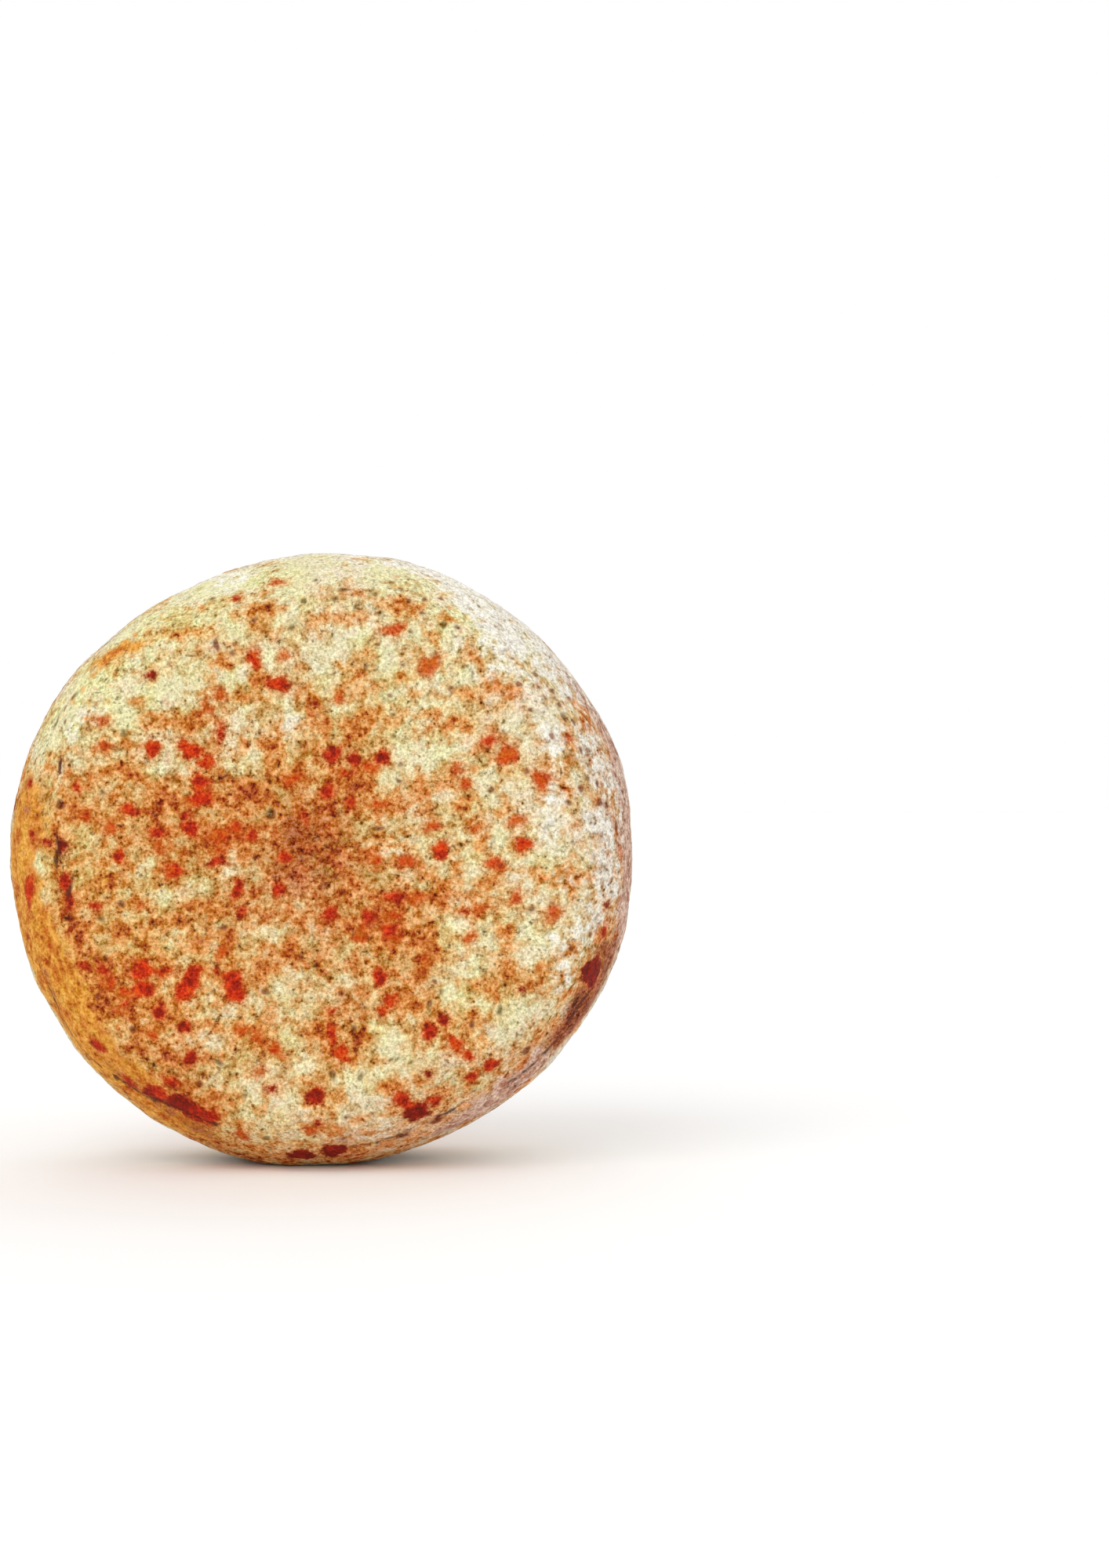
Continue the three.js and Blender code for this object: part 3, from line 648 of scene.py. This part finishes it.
# Ragged patches where the mould is thick, thin or dried to a dark spot, in the same form
patches = {
    "pale": [
        (-13, 56, 4.6, 8.2), (-36, 57, 3.8, 7.0), (-30, 40, 3.6, 4.0), (-69, 37, 4.8, 3.0, -10),
        (-59, 37, 4.0, 3.0, 20), (-63, 71, 8.0, 4.6, 10), (-52, 75, 5.0, 3.0),
        (-80, 74, 4.4, 6.0), (-76, 84, 7.0, 3.4, 10), (-66, 90, 5.0, 2.6),
        (-95, 62, 2.8, 7.0, 15), (-83, 58, 4.0, 6.0, 10), (-104, 52, 6.4, 2.8),
        (-107, 60, 3.0, 4.0), (-101, 40, 6.0, 2.4), (-50, 101, 7.0, 2.8, 15),
        (-38, 114, 10.0, 3.6, 14), (-14, 113, 4.4, 3.4), (-15, 101, 4.0, 4.0, 30),
        (-40, 96, 3.0, 4.6), (-24, 84, 2.6, 4.0), (-38, 76, 5.0, 3.0, 20), (-1, 80, 3.0, 7.0),
        (12, 93, 7.0, 4.4), (5, 86, 4.0, 3.0), (26, 83, 4.4, 7.6, -10), (54, 91, 3.4, 5.0, -20),
        (63, 76, 5.0, 3.6), (47, 73, 5.0, 4.0), (28, 68, 5.0, 2.6, 20), (8, 63, 4.0, 3.0),
        (36, 45, 6.0, 4.6), (45, 40, 8.0, 4.0, 20), (28, 33, 4.4, 4.6), (58, 45, 6.0, 3.0, 20),
        (79, 56, 5.0, 4.0), (96, 58, 5.0, 5.0), (100, 46, 5.0, 3.6), (69, 31, 4.0, 4.6),
        (74, 7, 4.6, 3.6, 20), (95, 4, 6.0, 3.6), (95, 17, 7.0, 5.0), (52, 25, 3.0, 3.0),
        (82, 32, 4.0, 3.0), (110, 24, 3.0, 4.0), (107, 34, 2.6, 3.0), (66, 98, 3.0, 6.0),
        (40, 93, 2.4, 3.6), (113, 51, 3.0, 2.4), (44, 66, 4.6, 3.0), (-74, -5, 3.8, 6.6, -10),
        (-38, -5, 4.6, 5.0), (-25, -31, 5.4, 3.0, -20), (-19, -33, 4.0, 3.4),
        (-13, -50, 4.0, 3.4), (-16, -57, 5.0, 5.0), (-8, -63, 6.0, 3.4, 15), (-46, -77, 4.6, 3.6),
        (-35, -65, 3.6, 4.4, -30), (-31, -60, 3.0, 3.0), (-66, -57, 2.6, 3.6),
        (-62, -36, 2.6, 4.4), (-52, -31, 4.0, 2.0), (-96, -33, 2.4, 1.6), (-85, -84, 3.6, 3.6),
        (-45, -95, 4.6, 2.6), (-30, -99, 5.0, 5.0), (-18, -103, 5.4, 4.6),
        (-20, -91, 4.6, 2.6, -20), (-8, -88, 4.6, 4.6), (-48, -67, 3.6, 2.6),
        (-15, -75, 3.6, 3.6), (-10, -20, 2.2, 1.8), (-53, -13, 4.6, 2.4), (-122, -3, 2.6, 5.0),
        (-116, -17, 2.0, 5.0), (-66, -17, 3.0, 2.0), (83, -8, 3.8, 6.0), (96, -3, 4.6, 3.0),
        (103, -23, 4.0, 4.0), (97, -36, 5.4, 4.0), (103, -47, 3.4, 4.0, 30), (62, -8, 3.6, 5.0),
        (55, -28, 4.0, 2.6), (70, -35, 4.0, 2.6), (62, -48, 9.0, 4.6), (54, -59, 4.4, 4.0),
        (68, -62, 5.0, 3.4), (76, -75, 7.0, 3.0, 10), (80, -66, 4.6, 3.6), (89, -66, 4.6, 3.6),
        (86, -42, 4.0, 3.6), (30, -80, 6.4, 6.0), (24, -72, 4.0, 3.0), (25, -90, 4.0, 3.0),
        (33, -91, 4.0, 3.6), (16, -104, 3.8, 5.0), (25, -102, 2.8, 2.2), (53, -92, 5.0, 4.6),
        (44, -86, 3.0, 2.8), (9, -52, 6.0, 3.4), (12, -97, 4.6, 2.6), (85, -30, 3.0, 3.0),
    ],
    "tawny": [
        (-29, 103, 7.0, 3.6), (-55, 95, 7.0, 2.6, 10), (-79, 89, 4.6, 2.0, 10),
        (-90, 85, 7.0, 2.4, 25), (-62, 85, 2.6, 2.6), (-41, 83, 5.0, 2.6), (-51, 77, 3.4, 1.8),
        (-68, 58, 9.0, 4.0), (-56, 57, 6.0, 4.0), (-79, 66, 3.4, 2.0), (-93, 57, 3.2, 2.2),
        (-92, 52, 2.0, 4.6), (-84, 51, 2.4, 3.0), (-84, 36, 7.0, 4.0), (-20, 44, 4.0, 5.0),
        (-37, 26, 9.0, 4.4), (-28, 23, 4.0, 4.0), (-13, 34, 5.4, 4.4), (-68, 22, 7.0, 5.0),
        (-42, 8, 10.0, 4.4, 10), (-101, 18, 3.4, 2.8), (-27, 75, 2.4, 4.0), (-32, 67, 4.4, 2.0),
        (-4, 64, 2.4, 7.0), (-3, 74, 2.6, 3.0), (-115, 42, 2.4, 2.0), (10, 101, 7.4, 2.2),
        (0, 100, 3.0, 2.6), (8, 71, 3.6, 4.0), (15, 75, 5.0, 3.4, 20), (23, 71, 3.4, 2.4),
        (9, 80, 3.4, 2.6), (20, 86, 3.2, 2.8), (34, 76, 2.8, 2.2), (38, 69, 2.8, 3.0),
        (35, 106, 6.4, 5.0), (52, 102, 2.6, 2.4), (62, 88, 3.0, 5.0, 10), (47, 92, 2.6, 2.8),
        (72, 74, 3.0, 3.4), (62, 68, 4.6, 2.4), (54, 56, 6.6, 2.4), (44, 60, 4.6, 2.4),
        (20, 60, 7.0, 3.0), (14, 53, 5.0, 2.6), (28, 22, 8.0, 3.8, 10), (41, 29, 3.2, 4.4),
        (51, 33, 3.4, 3.4), (14, 31, 6.0, 5.0), (19, 37, 4.0, 2.8), (58, 22, 4.6, 2.8),
        (65, 13, 3.0, 3.0), (66, 4, 2.6, 2.6), (103, 32, 2.0, 7.0), (82, 70, 3.6, 2.6),
        (112, 56, 1.8, 4.4, 30), (75, 18, 2.6, 2.6), (91, 12, 2.8, 1.8), (0, 55, 3.0, 3.0),
        (-90, -10, 2.8, 3.6), (-95, -46, 7.0, 2.6), (-78, -20, 2.8, 2.6), (-53, -37, 3.2, 2.8),
        (-40, -38, 2.6, 5.4), (-26, -47, 3.6, 4.4), (-13, -42, 2.6, 5.4), (-35, -73, 3.8, 2.4),
        (-27, -74, 2.6, 5.0), (-3, -75, 4.0, 3.6), (-71, -74, 2.8, 4.6), (-84, -62, 3.8, 4.0, 20),
        (-68, -45, 3.4, 4.0), (-47, -71, 3.6, 1.4), (-54, -22, 3.4, 2.4), (-46, -24, 3.0, 3.0),
        (-62, -27, 3.0, 2.0), (-85, -45, 2.0, 3.0), (-97, -62, 6.0, 8.0), (-103, -32, 6.0, 5.0),
        (-78, -80, 4.0, 3.0), (27, -26, 7.4, 7.0), (38, -17, 4.6, 2.8), (50, -17, 4.6, 4.4),
        (44, -40, 3.8, 7.0), (40, -50, 3.0, 3.0), (72, -12, 3.0, 2.6), (65, -22, 3.6, 2.2),
        (106, -13, 1.6, 2.4), (104, -4, 2.6, 3.6), (93, -9, 3.0, 1.8), (77, -31, 3.4, 2.4),
        (68, -55, 3.2, 2.6), (76, -47, 3.6, 2.4), (93, -49, 2.8, 3.4), (37, -62, 3.4, 3.6),
        (70, -80, 2.8, 2.8), (16, -78, 2.8, 2.2), (13, -86, 2.4, 2.8), (6, -104, 3.0, 2.6),
        (26, -97, 2.6, 1.8), (104, -58, 3.0, 2.6), (98, -71, 3.0, 2.6), (64, -66, 2.0, 3.6),
        (46, -7, 3.0, 3.0), (56, -4, 2.6, 2.4), (28, -38, 4.0, 3.0), (14, -30, 3.6, 3.0),
    ],
    "spot": [
        (-45, 90, 1.3, 3.2, 10), (-47, 109, 1.8, 1.2), (-13, 97, 1.8, 1.3, 30),
        (-8, 108, 1.4, 1.4), (-29, 100, 1.4, 1.4), (-105, 68, 1.3, 2.4, -30),
        (-109, 63, 1.0, 1.6, -30), (-113, 56, 1.1, 3.0), (-109, 57, 0.9, 1.3),
        (-111, 40, 1.3, 1.8), (-22, 18, 2.2, 2.2), (-38, 86, 1.6, 1.0), (-84, 52, 1.4, 1.8),
        (-111, 22, 2.0, 2.2), (-93, 27, 1.0, 1.6), (29, 116, 1.3, 1.6), (9, 113, 2.6, 1.2),
        (36, 108, 1.6, 1.6), (43, 109, 1.2, 1.8), (28, 68, 1.2, 1.0), (30, 60, 1.2, 1.0),
        (30, 51, 1.2, 1.2), (33, 39, 1.2, 1.2), (32, 32, 1.4, 1.0), (18, 80, 1.0, 2.8),
        (66, 106, 1.2, 1.2), (75, 98, 1.0, 1.0), (86, 82, 1.2, 1.2), (90, 77, 1.4, 1.6),
        (91, 72, 1.2, 1.4), (97, 70, 1.8, 1.3), (88, 62, 1.4, 1.2), (102, 59, 1.3, 2.4, 20),
        (112, 45, 2.4, 1.2), (97, 51, 1.2, 2.0), (117, 23, 2.0, 2.0), (112, 33, 1.4, 1.4),
        (124, 13, 1.6, 2.4), (54, 71, 1.2, 1.4), (51, 98, 1.8, 1.8), (23, 12, 2.8, 1.2),
        (71, 28, 1.6, 1.4), (86, 36, 1.0, 1.6), (37, 95, 1.2, 1.2), (-113, 0, 1.1, 3.0, -10),
        (-107, -26, 2.2, 1.4), (-94, -26, 1.8, 1.2), (-85, -20, 1.8, 1.4), (-92, -43, 1.4, 1.4),
        (-42, -30, 1.8, 1.2), (-24, -57, 2.2, 1.3, -20), (-3, -46, 1.5, 1.5),
        (-80, -73, 1.8, 1.4), (-52, -96, 1.8, 1.3, -30), (-44, -87, 2.6, 1.0, -30),
        (-33, -101, 1.2, 1.2), (-24, -119, 2.2, 1.3), (113, -33, 1.3, 1.3), (122, -10, 1.0, 1.2),
        (105, -39, 1.4, 1.4), (107, -62, 1.6, 3.0), (80, -95, 2.8, 1.0, 35),
        (48, -112, 2.8, 1.2, 30), (33, -118, 3.4, 1.6, 20), (37, -87, 1.4, 0.9),
        (29, -86, 2.0, 0.8), (16, -93, 1.0, 1.6), (13, -73, 1.0, 1.6), (75, -65, 1.2, 2.2),
        (50, -57, 1.0, 1.4), (47, -53, 1.2, 1.2), (45, -62, 1.2, 1.6), (8, -58, 1.4, 1.3),
        (9, -119, 1.5, 1.3), (10, -110, 1.3, 1.0), (63, -71, 1.2, 1.6), (64, -99, 1.6, 1.0),
        (88, -22, 1.6, 1.3), (86, -82, 2.6, 2.0), (4, -92, 1.6, 2.0), (5, 109, 1.6, 1.2),
        (14, 106, 1.2, 1.4), (22, 111, 1.4, 1.2), (24, 103, 1.6, 1.4), (33, 113, 1.2, 1.4),
        (42, 103, 1.4, 1.2), (50, 109, 1.2, 1.2), (57, 97, 1.4, 1.2), (-3, 117, 1.4, 1.0),
        (100, 64, 1.4, 1.2), (94, 67, 1.2, 1.2), (106, 57, 1.6, 1.3), (104, 67, 1.2, 1.4),
        (109, 29, 1.3, 1.8), (104, 23, 1.3, 1.3), (116, 31, 1.3, 1.6), (120, 22, 1.4, 1.8),
        (118, 9, 1.2, 1.4), (109, 45, 1.2, 1.8, 20), (80, 84, 1.2, 1.0), (83, 73, 1.4, 1.2),
        (97, -20, 1.2, 1.0),
    ],
}
patchKinds = {               # stray ones lie on the sides that the camera doesn't see
    "pale": {"sharpness": 1.1, "cover": 0.32, "strays": 150, "straySize": (2.5, 7.0)},
    "tawny": {"sharpness": 1.1, "cover": -0.34, "strays": 150, "straySize": (2.0, 6.5)},
    "spot": {"sharpness": 2.2, "strays": 110, "straySize": (0.9, 2.2)},
}


def paintPatches(rind, draw):
    # for each kind a field that is 1 in the middle of its patches and 0 well outside them
    fields = {}
    for name, places in patches.items():
        kind = patchKinds[name]
        spots = [(*rind.seenAt(x, z), *shape) for x, z, *shape in places]
        for index in draw.choice(rind.hidden(), kind["strays"]):
            size = draw.uniform(*kind["straySize"])
            spots.append((rind.points[index], rind.normals[index], size,
                          size * draw.uniform(0.5, 1.0), draw.uniform(0, 180)))
        fields[name] = np.zeros(len(rind.points))
        for spot in spots:
            near, edge = raggedEdge(rind, draw, *spot)
            inside = 1 / (1 + np.exp(edge * kind["sharpness"]))
            fields[name][near] = np.maximum(fields[name][near], inside)
    return fields


# Cracks of the rind's edge: points that a crack runs through, half width and darkness
# the darkness sets both a crack's depth and its painted shade
crevices = [
    {"through": [(-111, 42), (-112, 36)], "halfWidth": 1.0, "dark": 0.7},
    {"through": [(-113, 11), (-112, 4), (-113, -5)], "halfWidth": 1.1, "dark": 0.8},
    {"through": [(-105.5, -8), (-108, -17), (-107, -28)], "halfWidth": 1.6, "dark": 0.45},
    {"through": [(-121, -42), (-116, -56), (-109, -71), (-94, -89)], "halfWidth": 1.2,
     "dark": 0.5},
    {"through": [(-88, -93), (-76, -101), (-60, -107), (-44, -114)], "halfWidth": 1.6,
     "dark": 0.55},
    {"through": [(113, -57), (109, -63), (104, -70)], "halfWidth": 1.6, "dark": 0.65},
    {"through": [(101, -76), (92, -85), (80, -96)], "halfWidth": 1.3, "dark": 0.55},
    {"through": [(60, -104), (48, -111)], "halfWidth": 1.2, "dark": 0.5},
    {"through": [(30, -119), (12, -123)], "halfWidth": 1.4, "dark": 0.5},
    {"through": [(-103, 80), (-94, 88), (-82, 98)], "halfWidth": 1.0, "dark": 0.5},
]
crackFade = 3                # how far past its ends a crack fades out


def paintCrevices(rind):
    # how many half widths each point lies to the side of the nearest crack, and how dark the
    # crack is there. The side is less than 0 on the left, so that it passes 0 in the crack
    # even where no mesh point lies in it.
    side = np.full(len(rind.points), farAway)
    dark = np.zeros(len(rind.points))
    for crack in crevices:
        spots = [rind.seenAt(x, z) for x, z in crack["through"]]
        for (start, normal), (end, _) in zip(spots[:-1], spots[1:]):
            run = end - start
            length = np.linalg.norm(run)
            share = (rind.points - start) @ run / length ** 2
            gap = rind.points - start - np.clip(share, 0, 1)[:, None] * run
            distance = np.linalg.norm(gap, axis=1) / crack["halfWidth"]
            closer = distance < np.abs(side)
            side[closer] = np.copysign(distance, gap @ np.cross(run, normal))[closer]
            past = np.maximum(-share, share - 1).clip(0) * length
            dark[closer] = (crack["dark"] * np.clip(1 - past / crackFade, 0, 1))[closer]
    return side, dark


def displace(piece, heights):
    # moves every point along its normal by so many millimetres, and keeps the foot flat
    mesh = piece.data
    points, normals = meshPoints(mesh)
    moved = (points + normals * heights[:, None]) * mm + np.array(wheelMiddle)
    moved[:, 2] = np.maximum(moved[:, 2], wheelLow.z)
    mesh.vertices.foreach_set("co", moved.astype(np.float32).ravel())
    mesh.update()


def roughen(piece, size, height, detail, noise):
    texture = bpy.data.textures.new("crags", "CLOUDS")
    texture.noise_scale = size * mm
    texture.noise_depth = detail
    texture.noise_type = noise
    applyModifier(piece, "DISPLACE", {"texture": texture, "texture_coords": "LOCAL",
                                      "strength": height * mm, "mid_level": 0.5})


def makeRind(camera):
    piece = copyWheel()
    print("rind mesh:", len(piece.data.polygons), "faces")
    draw = np.random.default_rng(relief["seed"])
    rind = Rind(piece, camera)
    tints = paintStrokes(rind, draw)
    blooms = paintBlooms(rind, draw)
    spread = paintPatches(rind, draw)
    crackSide, crackDepthAndShade = paintCrevices(rind)
    heel = np.clip(1 - np.abs(rind.normals[:, 1]) / relief["heelTilt"], 0, 1)
    storeAttribute(piece.data, "cover", tints["cream"] - tints["bare"]
                   + spread["pale"] * patchKinds["pale"]["cover"]
                   + spread["tawny"] * patchKinds["tawny"]["cover"])
    storeAttribute(piece.data, "lean", tints["blush"] - tints["lemon"])
    storeAttribute(piece.data, "ruddy", tints["ruddy"] + spread["tawny"])
    storeAttribute(piece.data, "spot", spread["spot"])
    for name in ("white", "amber", "rose", "umber"):
        storeAttribute(piece.data, name, tints[name])
    storeAttribute(piece.data, "bloomEdge", blooms["edge"])
    storeAttribute(piece.data, "bloomTone", blooms["tone"])
    storeAttribute(piece.data, "bloomSoft", blooms["soft"])
    storeAttribute(piece.data, "crackSide", crackSide)
    storeAttribute(piece.data, "crackDepthAndShade", crackDepthAndShade)
    storeAttribute(piece.data, "heel", heel)
    print("rind painted")
    inside = 1 / (1 + np.exp(blooms["edge"] * relief["bloomSteepness"]))
    displace(piece, inside * blooms["lift"] * relief["bloomLift"]
             - np.exp(-crackSide ** 2 / 2) * crackDepthAndShade * relief["creviceDepth"])
    roughen(piece, **relief["crags"])
    roughen(piece, **relief["pits"])
    displace(piece, np.zeros(len(piece.data.vertices)))       # presses the foot flat again
    piece.data.polygons.foreach_set("use_smooth", [True] * len(piece.data.polygons))
    piece.data.materials.append(rindFinish())
    print("rind roughened")
    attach(piece, "root")
    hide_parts("cheese_wheel")


# Screen colours: of the rind and the heel from bare (0) to thickly covered with mould (1),
# and of the blooms from carmine (0) to orange (1)
rindStraw = [(0.0, (138, 78, 26)), (0.2, (168, 114, 56)), (0.38, (188, 144, 84)),
             (0.52, (204, 168, 110)), (0.66, (217, 187, 133)), (0.8, (225, 207, 158)),
             (0.92, (231, 222, 179)), (1.0, (235, 231, 194))]
rindPeach = [(0.0, (162, 72, 16)), (0.2, (190, 104, 40)), (0.38, (211, 136, 68)),
             (0.52, (222, 159, 96)), (0.66, (229, 181, 120)), (0.8, (231, 203, 153)),
             (0.92, (235, 219, 177)), (1.0, (238, 229, 192))]
bloomRed = [(0.0, (128, 12, 2)), (0.3, (158, 32, 4)), (0.5, (186, 42, 4)),
            (0.68, (212, 54, 0)), (0.84, (200, 84, 8)), (1.0, (192, 98, 22))]
heelMould = [(0.0, (128, 92, 76)), (0.3, (178, 148, 128)), (0.55, (218, 203, 184)),
             (1.0, (243, 238, 228))]

# Tints of the rim, one over the other: how much the crumb and the grain break each up, where
# it starts and is full, its dark and light colours, and the share of the rind that it hides
rimTints = {
    "amber": {"crumb": 1.1, "grain": 0.8, "edge": (0.15, 0.7), "dark": (190, 86, 6),
              "light": (246, 184, 74), "share": 0.94},
    "umber": {"crumb": 1.3, "grain": 0.9, "edge": (0.1, 0.75), "dark": (110, 36, 12),
              "light": (184, 102, 62), "share": 0.92},
    "rose": {"crumb": 0.7, "grain": 0.6, "edge": (0.2, 0.65), "dark": (172, 114, 92),
             "light": (234, 203, 184), "share": 0.9},
}


def rindFinish():
    finish = Finish("natural_rind")
    cover = finish.attribute("cover")

    # mottling, coarse to fine, and one that varies the hue
    patch = finish.noise(14, detail=1.5, shift=3.1)
    crumb = finish.noise(6, detail=1.5, shift=1.7)
    grain = finish.noise(3.2, detail=1.2, roughness=0.5, shift=0.4)
    fine = finish.noise(1.2, detail=2.0, roughness=0.7, shift=6.2)
    hue = finish.noise(9, detail=2.0, roughness=0.6, shift=8.9)

    # streaks that fan out from the middle of each face, where the cloth was gathered
    centred = finish.vector("SUBTRACT", finish.place, tuple(wheelMiddle))
    flat = finish.vector("MULTIPLY", centred, (1, 0, 1))
    outward = finish.vector("LENGTH", flat, output="Value")
    depth = finish.vector("DOT_PRODUCT", centred, (0, 1, 0), output="Value")
    around = finish.vector("MULTIPLY", finish.vector("NORMALIZE", flat), (0.06, 0, 0.06))
    fan = finish.vector("ADD", around, finish.node("CombineXYZ", {}, {"Y": outward * 0.45 + depth}))
    ray = finish.noise(7, detail=2.0, shift=5.3, place=fan) * outward.rise(5 * mm, 35 * mm)

    # how thick the mould lies, from bare rust to cream
    layer = 0.65 + cover * 0.85 + patch * 0.15 + crumb * 1.05 + ray * 0.9
    lively = 0.7 + (0.75 - layer).cut() * 0.9
    mould = (layer + grain * lively).cut()
    mottle = (0.5 + crumb * 1.9 + grain * 1.0).cut()
    straw = finish.node("ValToRGB", {"stops": rindStraw}, {"Fac": mould}, "Color")
    peach = finish.node("ValToRGB", {"stops": rindPeach}, {"Fac": mould}, "Color")
    ruddy = finish.attribute("ruddy")
    colour = finish.mix(straw, peach, (hue * 3.4 + 1.1 - layer + ruddy).cut())
    lean = (finish.attribute("lean") * 0.5 + 0.5 + patch * 0.6 + hue * 1.2).cut()
    tint = finish.mix(paint(251, 252, 224), paint(255, 243, 255), lean)
    colour = finish.mix(colour, tint, 1.0, "MULTIPLY")

    # heel: blotches of grey-white mould over violet-brown, drawn out round the wheel
    heel = (finish.attribute("heel") + patch * 0.5 + crumb * 0.3 - ruddy * 0.8).rise(0, 0.9)
    roundWheel = finish.vector("MULTIPLY", finish.place, (0.35, 1, 0.35))
    streak = finish.noise(11, detail=3.0, roughness=0.6, shift=2.2, place=roundWheel)
    heelMask = (0.68 + cover * 0.6 + streak * 2.0 + crumb * 0.8 + grain * 1.0).cut()
    heelColour = finish.node("ValToRGB", {"stops": heelMould}, {"Fac": heelMask}, "Color")
    colour = finish.mix(colour, heelColour, heel * 0.8)

    # honey-coloured rim, dark lower rim, grey-pink mould and over them the white
    masks = {}
    for name, look in rimTints.items():
        broken = finish.attribute(name) + crumb * look["crumb"] + grain * look["grain"]
        masks[name] = broken.rise(*look["edge"])
        rimColour = finish.mix(paint(*look["dark"]), paint(*look["light"]), mottle)
        colour = finish.mix(colour, rimColour, masks[name] * look["share"])
    amber = masks["amber"]
    dusted = finish.attribute("white")
    white = (dusted + (patch * 1.2 + crumb * 1.3 + grain) * dusted.rise(0, 0.35)).rise(0.1, 0.8)
    colour = finish.mix(colour, finish.mix(paint(210, 184, 152), paint(246, 241, 228), mould),
                        white * 0.92)

    # red blooms with ragged edges, an orange margin and a golden stain round them
    edge = finish.attribute("bloomEdge")
    soft = finish.attribute("bloomSoft")
    ragged = edge + crumb * 2.6 + grain * 2.6 + fine * 2.0
    stain = 1 - (ragged + crumb).rise(-0.4, 4.0)
    stainColour = finish.mix(paint(184, 92, 24), paint(226, 152, 76), mould)
    colour = finish.mix(colour, stainColour, stain * 0.5)
    bloom = 1 - (ragged / (1 + soft)).rise(-1.1, 1.1)
    tone = (finish.attribute("bloomTone") + crumb * 0.6 + grain * 0.8 + fine * 0.3).cut()
    red = finish.node("ValToRGB", {"stops": bloomRed}, {"Fac": tone}, "Color")
    margin = (ragged.rise(-2.6, 0.4) * 0.75 - soft * 0.3).cut() * tone.rise(0, 0.5)
    red = finish.mix(red, paint(194, 86, 18), margin)
    patchy = (1.05 - soft * 0.15 + (crumb + grain * 2.0) * soft).cut()
    colour = finish.mix(colour, red, bloom * patchy)

    # umber specks, and lighter and darker grains: painted light and shade of their relief
    spot = (finish.attribute("spot") + grain * 0.8 + fine * 0.8).rise(0.3, 0.8)
    spotColour = finish.mix(paint(152, 142, 116), paint(152, 102, 76), (hue * 3 + lean).cut())
    colour = finish.mix(colour, spotColour, spot * (0.95 - bloom * 0.5), "MULTIPLY")
    # specks: partly brown flecks of the rind, partly painted shade in the pits that the bump cuts
    # at them
    specks = (finish.noise(1.9, detail=2.0, shift=12.0) - grain * 0.35).rise(0.05, 0.3)
    speckColour = finish.mix(paint(138, 106, 70), paint(140, 118, 106), white)
    colour = finish.mix(colour, speckColour,
                        specks * (0.95 - bloom * 0.4 - cover.cut() * 0.6 - amber * 0.5),
                        "MULTIPLY")
    # painted light and shade of the grain's relief, then a painted glint added on its light grains
    shade = (fine * 2.6 + grain * 0.6) * (1 - cover.cut() * 0.5 - amber * 0.3)
    colour = finish.vector("MULTIPLY", colour, 0.945 + shade * 0.7)
    colour = finish.vector("ADD", colour, shade * 0.13 * (1 - bloom * 0.8))
    colour = finish.vector("MAXIMUM", colour, (0.03, 0.01, 0.002))
    colour = finish.vector("MINIMUM", colour, (1, 1, 1))

    # dark cracks along the rim: painted shade in the crevices that the mesh cuts there
    side = abs(finish.attribute("crackSide"))
    dark = finish.attribute("crackDepthAndShade")
    crack = (dark * 1.5 - side * 0.7 + crumb * 1.8 + grain * 2.2).rise(0.1, 0.9)
    colour = finish.mix(colour, paint(78, 32, 24), crack * dark.rise(0.05, 0.4) * 0.85)

    height = grain * 0.6 + fine * 0.2 + crumb * 0.5 + ray * 0.3 - specks * 0.15 + bloom * 0.05
    bump = finish.node("Bump", {}, {"Height": height, "Strength": 1.0, "Distance": 1.5 * mm})
    roughness = (0.86 - bloom * 0.16 - amber * 0.05 + grain * 0.2).cut()
    surface = finish.node("BsdfPrincipled", {}, {
        "Base Color": colour, "Roughness": roughness, "Normal": bump,
        "Specular IOR Level": 0.12})
    finish.node("OutputMaterial", {}, {"Surface": surface})
    return finish.material


camera = makeCamera()
makeLights()
makeFloor()
print("studio ready")
makeRind(camera)
